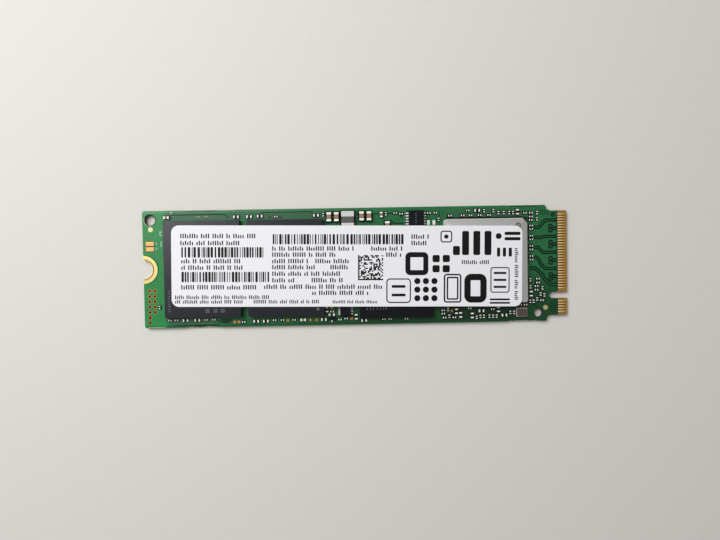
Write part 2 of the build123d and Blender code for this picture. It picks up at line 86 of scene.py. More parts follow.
def startMaterial(name):
    material = bpy.data.materials.new(name)
    material.use_nodes = True
    tree = material.node_tree
    shader = tree.nodes["Principled BSDF"]
    coords = addNode(tree, "TexCoord").outputs["Object"]
    return material, tree, shader, coords


def dress(material, *names):
    for name in names:
        for slot in nodes[name].material_slots:
            slot.material = material


def deselectAll():
    bpy.ops.object.select_all(action="DESELECT")


def applyPlace(obj):
    deselectAll()
    obj.select_set(True)
    bpy.context.view_layer.objects.active = obj
    bpy.ops.object.transform_apply(location=True, rotation=True, scale=True)


def joinPieces(pieces, name):
    deselectAll()
    for piece in pieces:
        piece.select_set(True)
    bpy.context.view_layer.objects.active = pieces[0]
    if len(pieces) > 1:
        bpy.ops.object.join()
    joined = bpy.context.view_layer.objects.active
    joined.name = name
    joined.data.name = name
    applyPlace(joined)
    return joined


def copyShaped(model, matrix):
    # a copy with its own mesh, put in place in the mesh
    piece = model.copy()
    piece.data = model.data.copy()
    piece.data.transform(matrix)
    scene.collection.objects.link(piece)
    return piece


def placed(x, y, z, sizeX, sizeY, sizeZ, turn=0.0):
    return (Matrix.Translation((x, y, z)) @ Matrix.Rotation(turn, 4, "Z")
            @ Matrix.Diagonal((sizeX, sizeY, sizeZ, 1.0)))


def finishPiece(obj, material):
    obj.data.materials.clear()
    obj.data.materials.append(material)
    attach(obj, "root")
    print("made", obj.name, len(obj.data.polygons), "faces")


def removeModel(obj):
    bpy.data.objects.remove(obj)


def islandBoxes(nodeName):
    # corner boxes of the separate solids in one node
    mesh = nodes[nodeName].data
    keys = [tuple(round(c * 1e7) for c in v.co) for v in mesh.vertices]
    parent = {key: key for key in keys}

    def root(key):
        while parent[key] != key:
            parent[key] = parent[parent[key]]
            key = parent[key]
        return key

    for face in mesh.polygons:
        first = root(keys[face.vertices[0]])
        for corner in face.vertices[1:]:
            parent[root(keys[corner])] = first
    groups = {}
    for vertex, key in zip(mesh.vertices, keys):
        groups.setdefault(root(key), []).append(vertex.co)
    boxes = []
    for points in groups.values():
        low = Vector([min(p[k] for p in points) for k in range(3)])
        high = Vector([max(p[k] for p in points) for k in range(3)])
        boxes.append((low, high))
    boxes.sort(key=lambda b: (round(b[0].x, 6), round(b[0].y, 6)))
    return boxes


# the row of contacts, and the wide gap in it at the key
contactLow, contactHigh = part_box("top_edge_contacts")
contactBoxes = sorted(islandBoxes("top_edge_contacts"), key=lambda b: b[0].y)
keyGap = max(zip(contactBoxes, contactBoxes[1:]), key=lambda pair: pair[1][0].y - pair[0][1].y)
keyLow, keyHigh = keyGap[0][1].y, keyGap[1][0].y

# green solder mask, screen-coated over etched copper on glass-epoxy laminate: a semi-gloss green, livelier
# at the screw end where no inner copper lies under it, darker towards the lower right, rounding over
# at the long edges, dark in the drilled holes and on the broken ledges, pale fibre at the cut sides, and
# bare brown laminate beside the contacts, with painted shade between the raised fingers
boardLook = {
    "overCopper": "22693d", "lowerRightGreen": "124423", "overLaminate": "228545", "edge": "4f6d40",
    "edgeFibre": "87935f", "ledge": "113f24", "drilled": "2c261b", "shadeBetweenContacts": "472b00",
    "besideContacts": "8f6a36", "bevel": "a57d40", "roughness": 0.36, "ior": 1.4, "steep": 0.4,
    "grainSize": 0.5 * mm, "grainSpan": (0.3, 0.7), "grainShade": (0.86, 1.1),
    "cloudSize": 9 * mm, "cloudSpan": (0.35, 0.65), "cloudShade": (0.93, 1.06), "fibreSize": 0.16 * mm,
    "bump": 0.12, "bumpDepth": 0.02 * mm, "laminateFrom": -35.2 * mm, "laminateTo": -36.4 * mm,
    "lowFromY": 1 * mm, "lowToY": -7 * mm, "lowFromX": -36 * mm, "lowToX": 10 * mm,
    "roundFrom": 10.5 * mm, "roundTo": 11.0 * mm, "roundDrop": 0.12 * mm,
    "drilledWithin": 10.4 * mm, "drilledMiddle": -2.2 * mm, "drilledReach": 37.7 * mm,
    "ledgeBelow": boardTop - 0.1 * mm,
}


def makeSolderMask(look):
    material, tree, shader, coords = startMaterial("solderMaskGreen")
    x, y, z = addNode(tree, "SeparateXYZ", None, {0: coords}).outputs
    across = addNode(tree, "Math", {"operation": "ABSOLUTE"}, {0: y})
    grain = addNode(tree, "TexNoise", None,
                    {"Vector": coords, "Scale": 1 / look["grainSize"], "Detail": 3.0, "Roughness": 0.6})
    cloud, fibre = [addNode(tree, "TexNoise", None,
                            {"Vector": coords, "Scale": 1 / look[size], "Detail": 2.0})
                    for size in ("cloudSize", "fibreSize")]

    # the green itself: deeper towards the lower contact end, livelier at the screw end
    lowY = addNode(tree, "MapRange", smoothStep,
                   {"Value": y, "From Min": look["lowFromY"], "From Max": look["lowToY"]})
    lowX = addNode(tree, "MapRange", smoothStep,
                   {"Value": x, "From Min": look["lowFromX"], "From Max": look["lowToX"]})
    lowShare = addNode(tree, "Math", {"operation": "MULTIPLY"}, {0: lowY, 1: lowX})
    driftingGreen = addNode(tree, "Mix", colourMix,
                          {mixFactor: lowShare, mixA: look["overCopper"], mixB: look["lowerRightGreen"]})
    screwEnd = addNode(tree, "MapRange", smoothStep,
                       {"Value": x, "From Min": look["laminateFrom"], "From Max": look["laminateTo"]})
    green = addNode(tree, "Mix", colourMix,
                    {mixFactor: screwEnd, mixA: driftingGreen, mixB: look["overLaminate"]})
    shades = []
    for noise, kind in ((grain, "grain"), (cloud, "cloud")):
        span, shade = look[kind + "Span"], look[kind + "Shade"]
        shades.append(addNode(tree, "MapRange", None,
                              {"Value": noise, "From Min": span[0], "From Max": span[1],
                               "To Min": shade[0], "To Max": shade[1]}))
    bothShades = addNode(tree, "Math", {"operation": "MULTIPLY"}, {0: shades[0], 1: shades[1]})
    shaded = addNode(tree, "VectorMath", {"operation": "SCALE"}, {0: green, "Scale": bothShades})

    # cut sides and drilled walls
    facing = addNode(tree, "NewGeometry").outputs["True Normal"]
    up = addNode(tree, "SeparateXYZ", None, {0: facing}).outputs["Z"]
    upright = addNode(tree, "Math", {"operation": "ABSOLUTE"}, {0: up})
    isSide = addNode(tree, "Math", {"operation": "LESS_THAN"}, {0: upright, 1: look["steep"]})
    edgeTint = addNode(tree, "Mix", colourMix,
                       {mixFactor: fibre, mixA: look["edge"], mixB: look["edgeFibre"]})
    isInner = addNode(tree, "Math", {"operation": "LESS_THAN"}, {0: across, 1: look["drilledWithin"]})
    isBetween = addNode(tree, "Math", {"operation": "COMPARE"},
                        {0: x, 1: look["drilledMiddle"], 2: look["drilledReach"]})
    isDrilled = addNode(tree, "Math", {"operation": "MULTIPLY"}, {0: isInner, 1: isBetween})
    sideTint = addNode(tree, "Mix", colourMix,
                       {mixFactor: isDrilled, mixA: edgeTint, mixB: look["drilled"]})

    # ledges left where the card was broken out
    isUp = addNode(tree, "Math", {"operation": "GREATER_THAN"}, {0: up, 1: look["steep"]})
    isLow = addNode(tree, "Math", {"operation": "LESS_THAN"}, {0: z, 1: look["ledgeBelow"]})
    isLedge = addNode(tree, "Math", {"operation": "MULTIPLY"}, {0: isUp, 1: isLow})

    # bare laminate beside the contacts, painted darker between them as shade between the raised fingers, and
    # the bevelled nose
    inKey = addNode(tree, "Math", {"operation": "COMPARE"},
                    {0: y, 1: (keyLow + keyHigh) / 2, 2: (keyHigh - keyLow) / 2})
    pastRow = addNode(tree, "Math", {"operation": "GREATER_THAN"}, {0: across, 1: contactHigh.y})
    beside = addNode(tree, "Math", {"operation": "MAXIMUM"}, {0: inKey, 1: pastRow})
    noseLaminateAndShade = addNode(tree, "Mix", colourMix,
                       {mixFactor: beside, mixA: look["shadeBetweenContacts"], mixB: look["besideContacts"]})
    isNose = addNode(tree, "Math", {"operation": "GREATER_THAN"}, {0: x, 1: contactLow.x})
    isBevel = addNode(tree, "Math", {"operation": "GREATER_THAN"}, {0: x, 1: contactHigh.x})
    layered = shaded
    for share, tint in ((isSide, sideTint), (isLedge, look["ledge"]), (isNose, noseLaminateAndShade),
                        (isBevel, look["bevel"])):
        layered = addNode(tree, "Mix", colourMix, {mixFactor: share, mixA: layered, mixB: tint})

    # the mask thins and rounds over at the long edges
    rounding = addNode(tree, "MapRange", smoothStep,
                       {"Value": across, "From Min": look["roundTo"], "From Max": look["roundFrom"]})
    roundOver = addNode(tree, "Bump", None,
                        {"Height": rounding, "Strength": 1.0, "Distance": look["roundDrop"]})
    bump = addNode(tree, "Bump", None, {"Height": grain, "Normal": roundOver, "Strength": look["bump"],
                                        "Distance": look["bumpDepth"]})
    setInputs(shader, {"Base Color": layered, "Normal": bump, "Roughness": look["roughness"],
                       "IOR": look["ior"]})
    return material


# hard gold flashed over nickel: a painted highlight where it runs under the mask, fading to gold that is
# browner and rubbed towards the tip, with fine rubs along the way it slides in, drawn coarser than real ones
# so that they show, and painted shade down both flanks
goldLook = {
    "highlightByMask": "fff0b4", "byTip": "d29b3e", "rub": "c79648", "flank": "6b4300", "rubWidth": 0.05 * mm,
    "rubLength": 1.2 * mm, "rubSpan": (0.52, 0.72), "rubMost": 0.55, "bump": 0.2, "bumpDepth": 0.01 * mm,
    "pitch": 0.5 * mm, "flankFrom": 0.15, "flankTo": 0.34, "metallic": 0.35, "roughness": 0.42,
}


def makeHardGold(look):
    material, tree, shader, coords = startMaterial("hardGoldPlate")
    x, y, z = addNode(tree, "SeparateXYZ", None, {0: coords}).outputs
    along = addNode(tree, "MapRange", None,
                    {"Value": x, "From Min": contactLow.x, "From Max": contactHigh.x})
    # painted highlight by the mask, fading to the browner gold of the tip
    fade = addNode(tree, "Mix", colourMix, {mixFactor: along, mixA: look["highlightByMask"], mixB: look["byTip"]})
    rubScale = (1 / look["rubLength"], 1 / look["rubWidth"], 1 / look["rubWidth"])
    stretch = addNode(tree, "Mapping", None, {"Vector": coords, "Scale": rubScale})
    rubs = addNode(tree, "TexNoise", None, {"Vector": stretch, "Scale": 1.0, "Detail": 2.0})
    rubShare = addNode(tree, "MapRange", None, {"Value": rubs, "From Min": look["rubSpan"][0],
                                                "From Max": look["rubSpan"][1], "To Max": look["rubMost"]})
    rubbed = addNode(tree, "Mix", colourMix, {mixFactor: rubShare, mixA: fade, mixB: look["rub"]})

    # place across one finger, whose middle comes out at 0.5; the plain side is shifted by half a pitch
    fingerMiddle = (contactBoxes[0][0].y + contactBoxes[0][1].y) / 2
    isUnder = addNode(tree, "Math", {"operation": "LESS_THAN"}, {0: z, 1: boardTop / 2})
    underShift = addNode(tree, "Math", {"operation": "MULTIPLY_ADD"},
                         {0: isUnder, 1: 0.5, 2: 0.5 - fingerMiddle / look["pitch"]})
    finger = addNode(tree, "Math", {"operation": "MULTIPLY_ADD"},
                     {0: y, 1: 1 / look["pitch"], 2: underShift})
    fingerPart = addNode(tree, "Math", {"operation": "FRACT"}, {0: finger})
    offMiddle = addNode(tree, "Math", {"operation": "SUBTRACT"}, {0: fingerPart, 1: 0.5})
    toFlank = addNode(tree, "Math", {"operation": "ABSOLUTE"}, {0: offMiddle})
    # painted shade darkens each finger towards both of its flanks
    flankShadeShare = addNode(tree, "MapRange", smoothStep,
                         {"Value": toFlank, "From Min": look["flankFrom"], "From Max": look["flankTo"]})
    flankShaded = addNode(tree, "Mix", colourMix, {mixFactor: flankShadeShare, mixA: rubbed, mixB: look["flank"]})
    bump = addNode(tree, "Bump", None,
                   {"Height": rubs, "Strength": look["bump"], "Distance": look["bumpDepth"]})
    setInputs(shader, {"Base Color": flankShaded, "Normal": bump, "Metallic": look["metallic"],
                       "Roughness": look["roughness"]})
    return material


# the other finishes share one build: a tint that drifts a little, a fine grain and a soft bump
finishBuild = {"detail": 4.0, "roughness": 0.65, "wear": 0.06, "bumpDepth": 0.02 * mm}


def makeFinish(name, dark, light, grain, rough, bump, metallic=0.0, ior=None, rim=None):
    material, tree, shader, coords = startMaterial(name)
    noise = addNode(tree, "TexNoise", None,
                    {"Vector": coords, "Scale": 1 / (grain * mm), "Detail": finishBuild["detail"],
                     "Roughness": finishBuild["roughness"]})
    tint = addNode(tree, "Mix", colourMix, {mixFactor: noise, mixA: dark, mixB: light})
    wear = addNode(tree, "MapRange", None, {"Value": noise, "To Min": rough - finishBuild["wear"],
                                            "To Max": rough + finishBuild["wear"]})
    relief = addNode(tree, "Bump", None,
                     {"Height": noise, "Strength": bump, "Distance": finishBuild["bumpDepth"]})
    if rim:  # the face falls away towards all four sides
        low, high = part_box(rim["of"])
        x, y, z = addNode(tree, "SeparateXYZ", None, {0: coords}).outputs
        level = None
        for along, outer, way in ((x, low.x, 1), (x, high.x, -1), (y, low.y, 1), (y, high.y, -1)):
            slope = addNode(tree, "MapRange", smoothStep,
                            {"Value": along, "From Min": outer, "From Max": outer + way * rim["width"]})
            level = addNode(tree, "Math", {"operation": "MINIMUM"}, {0: level, 1: slope}) if level else slope
        fall = addNode(tree, "Bump", None, {"Height": level, "Strength": 1.0, "Distance": rim["drop"]})
        setInputs(relief, {"Normal": fall})
    setInputs(shader, {"Base Color": tint, "Roughness": wear, "Normal": relief, "Metallic": metallic})
    if ior:
        setInputs(shader, {"IOR": ior})
    return material


lidRim = {"of": "controller_lid", "width": 2.2 * mm, "drop": 0.16 * mm}
# the grain is in mm, and the IOR keeps its default where none is given
finishLooks = {
    # soft gold over copper on the screw ring: paler and brighter than the contacts
    "immersionGold": dict(dark="c4ad72", light="d9c48b", grain=0.3, rough=0.42, bump=0.15, metallic=1.0),
    # browner gold along the inner edge of the screw ring
    "brownerGold": dict(dark="98763a", light="b3904c", grain=0.25, rough=0.42, bump=0.2, metallic=1.0),
    # the round marks carry less gold and look greener
    "thinImmersionGold": dict(dark="b9b27c", light="cdc68f", grain=0.3, rough=0.42, bump=0.15,
                              metallic=0.5),
    # bare copper gone brown-orange in air
    "tarnishedCopper": dict(dark="ae7446", light="dba06c", grain=0.2, rough=0.42, bump=0.2, metallic=1.0),
    # copper in the drilled test holes, browner from the drilling and the flux
    "brownedCopper": dict(dark="8a5a34", light="b57f50", grain=0.15, rough=0.38, bump=0.25, metallic=1.0),
    # orange gold of the two probe pads
    "thinGoldOverCopper": dict(dark="b48d56", light="cda56d", grain=0.3, rough=0.46, bump=0.1,
                               metallic=1.0),
    # matte tin on chip ends and leads: near white and hardly metallic, its white a painted sheen
    "tinWithPaintedSheen": dict(dark="e6eae4", light="fbfdf9", grain=0.12, rough=0.45, bump=0.2, metallic=0.1),
    # thicker tin on the power coil, gone greyer
    "greyTin": dict(dark="c3c6c2", light="dadcd7", grain=0.3, rough=0.45, bump=0.2, metallic=0.5),
    # reflowed solder: a smooth frozen surface, painted dark grey for the dark parts beside it that it
    # mirrors, a painted reflection
    "solderWithPaintedReflection": dict(dark="484c49", light="7b807c", grain=0.15, rough=0.24, bump=0.25, metallic=1.0),
    # filled epoxy mould compound, transfer moulded: dull grey-violet black with fine grit
    "epoxyMouldGrey": dict(dark="0b0e17", light="151a27", grain=0.12, rough=0.3, bump=0.3, ior=1.5),
    # a blacker compound with a lower gloss on the smaller packages
    "epoxyMouldBlack": dict(dark="070a0f", light="0d1219", grain=0.12, rough=0.36, bump=0.3, ior=1.32),
    # resin-glass laminate of the package carriers: dark green-brown cut edges
    "carrierLaminate": dict(dark="26352a", light="3a4a36", grain=0.1, rough=0.5, bump=0.2),
    # nickel-plated stamped copper: warm grey, satin, falling away a little towards its rim
    "nickelPlate": dict(dark="e8e7e7", light="f2f1f1", grain=0.35, rough=0.38, bump=0.12, metallic=1.0,
                        rim=lidRim),
    # nickel at the bottom of the struck dimple: darker and duller than the lid
    "dullNickel": dict(dark="a6a4a2", light="b7b5b3", grain=0.15, rough=0.5, bump=0.2, metallic=1.0),
    # iron-nickel lid of the crystal, tarnished in the welding: brown-grey and dull; the dark ring of the
    # lid's dimple is drawn in it too
    "weldedIronNickel": dict(dark="675f5a", light="7a716b", grain=0.2, rough=0.5, bump=0.2, metallic=1.0),
    # bare silicon, polished: dark grey and smooth
    "bareSilicon": dict(dark="3a3b40", light="4a4b52", grain=0.4, rough=0.2, bump=0.05),
    # fired ceramics, matte to satin: alumina tray, ferrite block, two browns of barium titanate
    "brownAlumina": dict(dark="a39a90", light="bbb2a8", grain=0.1, rough=0.55, bump=0.3),
    "greyFerrite": dict(dark="474444", light="5e5a5a", grain=0.1, rough=0.5, bump=0.35),
    "brownTitanate": dict(dark="806c51", light="9c8767", grain=0.15, rough=0.4, bump=0.2),
    "darkTitanate": dict(dark="17120d", light="261f17", grain=0.1, rough=0.42, bump=0.2),
    # glass glaze fired over the resistors: black with a soft gloss
    "resistorGlaze": dict(dark="0a0a0c", light="141418", grain=0.1, rough=0.34, bump=0.15, ior=1.4),
    # coated polyester label: bluish white, nearly matte
    "coatedLabel": dict(dark="e9eaf0", light="f0f1f5", grain=0.35, rough=0.48, bump=0.08),
    # thermal-transfer ink: flat black with a faint sheen
    "transferInk": dict(dark="07070a", light="0f0f13", grain=0.2, rough=0.5, bump=0.05, ior=1.3),
    # legend ink printed on the mask: chalky greenish white, also used for one painted highlight
    "legendInkAndGlint": dict(dark="cfdccf", light="e6efe4", grain=0.15, rough=0.6, bump=0.1),
    # mould compound scorched by a laser: a paler, drier grey; it also paints the sheen in the pin mark
    "laserScorchAndSheen": dict(dark="55565d", light="6b6c74", grain=0.1, rough=0.65, bump=0.1),
    # mask sunk into the etched gaps: the darker lines beside traces
    "maskInGaps": dict(dark="052015", light="082a1a", grain=0.3, rough=0.4, bump=0.1, ior=1.3),
    # mask over a solid copper pour: greyer than over bare laminate
    "maskOverPour": dict(dark="2a5a3b", light="356646", grain=0.4, rough=0.36, bump=0.1, ior=1.4),
    # deep green mask: darker fields along the lower edge, dark rims round the holes, and painted shade at
    # the mask's step over the contacts
    "deepMaskAndShade": dict(dark="0b2817", light="11351e", grain=0.3, rough=0.36, bump=0.1, ior=1.4),
    # mask over the paired traces: a middle green
    "maskOverTraces": dict(dark="174e2c", light="1d5934", grain=0.3, rough=0.36, bump=0.1, ior=1.4),
    # nearly black green: the bare ring of mask round each pad, deepened with painted shade, and painted
    # shade beside the controller
    "blackGreenMaskAndShade": dict(dark="05140a", light="091e10", grain=0.2, rough=0.4, bump=0.1, ior=1.4),
    # bare glass and resin where the card was cut and broken out: pale, dry and rough; this pale also paints
    # highlights on the top edge, the covered pads and a hole's burr
    "paleFibreAndHighlight": dict(dark="8fa583", light="c3cdb2", grain=0.12, rough=0.8, bump=0.4),
}
finish = {name: makeFinish(name, **look) for name, look in finishLooks.items()}
finish["solderMaskGreen"] = makeSolderMask(boardLook)
finish["hardGoldPlate"] = makeHardGold(goldLook)
print(len(finish), "finishes made")

# which finish each node of the card wears
wornBy = {
    "solderMaskGreen": ["circuit_board"],
    "hardGoldPlate": ["top_edge_contacts", "bottom_edge_contacts"],
    "immersionGold": ["screw_notch_plating"],
    "thinImmersionGold": ["fiducial_pads"],
    "tarnishedCopper": ["spare_copper_pads"],
    "brownedCopper": ["test_header_plating"],
    "thinGoldOverCopper": ["probe_pads"],
    "tinWithPaintedSheen": ["spare_tinned_pads", "power_chip_pads", "switch_chip_leads", "sensor_chip_leads",
                 "transistor_leads", "bulk_capacitor_ends", "small_capacitor_ends", "chip_resistor_ends",
                 "tiny_chip_ends"],
    "greyTin": ["inductor_ends"],
    "epoxyMouldGrey": ["flash_package_1", "flash_package_2"],
    "epoxyMouldBlack": ["dram_package", "power_chip_body", "switch_chip_body", "sensor_chip_body",
                        "transistor_body"],
    "carrierLaminate": ["flash_substrate_1", "flash_substrate_2", "dram_substrate", "controller_substrate"],
    "solderWithPaintedReflection": ["flash_ball_grid_1", "flash_ball_grid_2", "dram_ball_grid", "controller_ball_grid"],
    "nickelPlate": ["controller_lid"],
    "weldedIronNickel": ["crystal_lid"],
    "bareSilicon": ["controller_die"],
    "brownAlumina": ["crystal_base"],
    "greyFerrite": ["inductor_body"],
    "brownTitanate": ["bulk_capacitor_bodies", "small_capacitor_bodies"],
    "darkTitanate": ["tiny_chip_bodies"],
    "resistorGlaze": ["chip_resistor_bodies"],
    "coatedLabel": ["label"],
}
for name, nodeNames in wornBy.items():
    dress(finish[name], *nodeNames)
print("finishes on")

# one solder wedge: a block whose outer top edge is scooped away, modelled at unit size
wedgeForm = {"offset": 0.9, "segments": 3, "profile": 0.2}
deselectAll()
bpy.ops.mesh.primitive_cube_add(size=1, location=(0.5, 0, 0.5))
wedge = bpy.context.object
applyPlace(wedge)
bpy.ops.object.mode_set(mode="EDIT")
bpy.ops.mesh.select_all(action="DESELECT")
bpy.ops.mesh.select_mode(type="EDGE")
bpy.ops.object.mode_set(mode="OBJECT")
for edge in wedge.data.edges:
    ends = [wedge.data.vertices[v].co for v in edge.vertices]
    edge.select = all(p.x > 0.5 and p.z > 0.5 for p in ends)  # both ends in the outer upper half
bpy.ops.object.mode_set(mode="EDIT")
bpy.ops.mesh.bevel(**wedgeForm)
bpy.ops.mesh.select_mode(type="FACE")
bpy.ops.object.mode_set(mode="OBJECT")


def wedgeAgainst(low, high, away, reach, wide, height):
    # a wedge against the outer face of one end, pointing away from the body
    middle = (low + high) / 2
    size = high - low
    if abs(away.x) > abs(away.y):
        face = high.x if away.x > 0 else low.x
        turn = 0.0 if away.x > 0 else math.pi
        return copyShaped(wedge, placed(face, middle.y, boardTop, reach, size.y * wide, height, turn))
    face = high.y if away.y > 0 else low.y
    turn = math.pi / 2 if away.y > 0 else -math.pi / 2
    return copyShaped(wedge, placed(middle.x, face, boardTop, reach, size.x * wide, height, turn))


# where two-ended chips stand in solder: how far it runs out in mm, and its height and width as shares
chipSolder = {
    "tinySolder": dict(of="tiny_chip", reach=0.12, climb=0.6, wide=0.98),
    "resistorSolder": dict(of="chip_resistor", reach=0.2, climb=0.65, wide=0.98),
    "smallCapacitorSolder": dict(of="small_capacitor", reach=0.2, climb=0.55, wide=0.98),
    "bulkCapacitorSolder": dict(of="bulk_capacitor", reach=0.3, climb=0.55, wide=0.98),
    "inductorSolder": dict(of="inductor", bodies="_body", reach=0.32, climb=0.45, wide=0.96),
}
for pieceName, setup in chipSolder.items():
    bodiesName = setup["of"] + setup.get("bodies", "_bodies")
    bodyCentres = [(low + high) / 2 for low, high in islandBoxes(bodiesName)]
    wedges = []
    for low, high in islandBoxes(setup["of"] + "_ends"):
        middle = (low + high) / 2
        nearest = min(bodyCentres, key=lambda centre: (centre - middle).length)
        height = (high.z - boardTop) * setup["climb"]
        wedges.append(wedgeAgainst(low, high, middle - nearest, setup["reach"] * mm, setup["wide"], height))
    finishPiece(joinPieces(wedges, pieceName), finish["solderWithPaintedReflection"])

# solder at the toes of the bent leads
leadSolder = {"reach": 0.16 * mm, "wide": 1.25, "height": 0.09 * mm}
toes = []
for chip in ("switch_chip", "sensor_chip", "transistor"):
    bodyLow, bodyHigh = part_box(chip + "_body")
    for low, high in islandBoxes(chip + "_leads"):
        away = (low + high) / 2 - (bodyLow + bodyHigh) / 2
        if bodyLow.x <= (low.x + high.x) / 2 <= bodyHigh.x:  # a lead at the body's upper or lower side
            away.x = 0.0
        else:
            away.y = 0.0
        toes.append(wedgeAgainst(low, high, away, **leadSolder))
finishPiece(joinPieces(toes, "leadSolder"), finish["solderWithPaintedReflection"])
removeModel(wedge)
print("solder done")

# two outer rows of solder balls under each package, in place of the plain layer there
ballRows = {
    "pitch": 0.8 * mm, "across": 0.5 * mm, "rows": 2, "flat": 0.36,
    "pieces": {"flashBalls1": "flash_ball_grid_1", "flashBalls2": "flash_ball_grid_2",
               "dramBalls": "dram_ball_grid", "controllerBalls": "controller_ball_grid"},
}
deselectAll()
bpy.ops.mesh.primitive_ico_sphere_add(subdivisions=2, radius=0.5)
ball = bpy.context.object
bpy.ops.object.mode_set(mode="EDIT")
for side in (1, -1):  # flattened where it wets the pads above and below
    bpy.ops.mesh.select_all(action="SELECT")
    bpy.ops.mesh.bisect(plane_co=(0, 0, side * ballRows["flat"]), plane_no=(0, 0, side), use_fill=True,
                        clear_outer=True)
bpy.ops.object.mode_set(mode="OBJECT")
for pieceName, nodeName in ballRows["pieces"].items():
    low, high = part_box(nodeName)
    pitch, across = ballRows["pitch"], ballRows["across"]
    countX = int((high.x - low.x - across) / pitch) + 1
    countY = int((high.y - low.y - across) / pitch) + 1
    middle = (low + high) / 2
    tall = (high.z - low.z) / (2 * ballRows["flat"])
    copies = []
    for i in range(countX):
        for j in range(countY):
            if min(i, j, countX - 1 - i, countY - 1 - j) >= ballRows["rows"]:
                continue
            x = middle.x + (i - (countX - 1) / 2) * pitch
            y = middle.y + (j - (countY - 1) / 2) * pitch
            copies.append(copyShaped(ball, placed(x, y, middle.z, across, across, tall)))
    balls = joinPieces(copies, pieceName)
    finishPiece(balls, finish["solderWithPaintedReflection"])
    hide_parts(nodeName)
removeModel(ball)
print("ball rows done")


# lines and fields etched in the copper show through the mask; they are drawn as curves and made mesh
def drawCurve(name, paths, material, form, level=boardTop):
    curve = bpy.data.curves.new(name, "CURVE")
    width, rise = form.get("width"), form["rise"]
    curve.dimensions = "3D" if width else "2D"
    if width:  # a wire, flattened below
        curve.bevel_depth = width / 2
        curve.bevel_resolution = 0
        curve.use_fill_caps = True
    else:  # a filled field
        curve.fill_mode = "BOTH"
        curve.extrude = rise
    for points, closed in paths:
        spline = curve.splines.new("POLY")
        spline.points.add(len(points) - 1)
        for point, (x, y) in zip(spline.points, points):
            point.co = (x * mm, y * mm, 0, 1)
        spline.use_cyclic_u = closed
    drawn = bpy.data.objects.new(name, curve)
    scene.collection.objects.link(drawn)
    deselectAll()
    drawn.select_set(True)
    bpy.context.view_layer.objects.active = drawn
    bpy.ops.object.convert(target="MESH")
    drawn = bpy.context.view_layer.objects.active
    if width:
        drawn.scale.z = rise / (width / 2)
    drawn.location.z = level
    applyPlace(drawn)
    finishPiece(drawn, finish[material])


def openPaths(paths):
    return [(path, False) for path in paths]


def closedPaths(paths):
    return [(path, True) for path in paths]


def ringPath(x, y, radius, corners=16):
    turns = [2 * math.pi * k / corners for k in range(corners)]
    return [(x + radius * math.cos(a), y + radius * math.sin(a)) for a in turns], True


def arcPath(x, y, radius, low, high, steps):
    # from one angle to the other, in degrees
    turns = [math.radians(low + (high - low) * k / steps) for k in range(steps + 1)]
    return [(x + radius * math.cos(a), y + radius * math.sin(a)) for a in turns], False


# all places below are in mm from the middle of the card
# copper pours beside the packages
copperPours = {
    "rise": 0.003 * mm,
    "fields": [
        [(-35.0, 9.0), (-34.8, 9.95), (-34.3, 10.15), (-24.6, 10.15), (-23.9, 9.5), (-22.4, 9.5),
         (-22.4, 9.0)],
        [(-18.3, 9.0), (-18.2, 9.75), (-17.4, 10.4), (-8.4, 10.4), (-8.1, 9.8), (-6.6, 9.6), (-6.6, 9.0)],
        [(16.3, 8.9), (16.6, 9.7), (19.6, 10.4), (31.4, 10.4), (32.1, 9.8), (32.1, 8.9)],
        [(-36.0, -9.3), (-36.0, -9.8), (-35.1, -10.4), (-26.9, -10.4), (-26.3, -9.8), (-26.3, -9.3)],
    ],
}
drawCurve("copperPours", closedPaths(copperPours["fields"]), "maskOverPour", copperPours)

# darker fields of mask along the lower edge
darkLowerFields = {
    "rise": 0.003 * mm,
    "fields": [
        [(15.8, -8.0), (15.8, -10.3), (16.2, -10.5), (29.6, -10.5), (29.6, -8.0)],
        [(-25.9, -9.5), (-25.4, -10.1), (-24.0, -10.1), (-23.4, -9.5)],
    ],
}
drawCurve("darkLowerFields", closedPaths(darkLowerFields["fields"]), "deepMaskAndShade", darkLowerFields)

# paired traces to the contacts: the two gaps of each pair, and a band between them
pairBands = {"width": 0.5 * mm, "rise": 0.004 * mm}
pairGaps = {
    "width": 0.28 * mm, "rise": 0.01 * mm,
    "paths": [
        [(33.65, 6.95), (34.45, 6.95), (35.7, 8.3), (38, 8.3)],
        [(33.65, 6.55), (34.65, 6.55), (36.0, 7.9), (38, 7.9)],
        [(33.65, 5.05), (35.0, 5.05), (35.25, 5.22), (38, 5.22)],
        [(33.65, 4.65), (35.2, 4.65), (35.4, 4.84), (38, 4.84)],
        [(33.6, 3.15), (34.5, 3.15), (35.45, 2.2), (38, 2.2)],
        [(33.6, 2.75), (34.3, 2.75), (35.25, 1.8), (38, 1.8)],
        [(33.7, 1.3), (34.2, 1.3), (34.75, 0.75), (34.95, 0.1), (35.9, -0.86), (38, -0.86)],
        [(33.7, 0.9), (34.0, 0.9), (34.45, 0.45), (34.65, -0.2), (35.7, -1.25), (38, -1.25)],
        [(32.75, -0.7), (33.9, -0.7), (35.5, -2.2), (35.7, -2.75), (36.8, -3.9), (38, -3.9)],
        [(32.75, -1.17), (33.7, -1.17), (35.2, -2.55), (35.4, -3.1), (36.6, -4.35), (38, -4.35)],
    ],
}
pairMiddles = [[((x + u) / 2, (y + v) / 2) for (x, y), (u, v) in zip(upper, lower)]
               for upper, lower in zip(pairGaps["paths"][::2], pairGaps["paths"][1::2])]
drawCurve("pairBands", openPaths(pairMiddles), "maskOverTraces", pairBands)
drawCurve("pairGaps", openPaths(pairGaps["paths"]), "maskInGaps", pairGaps)

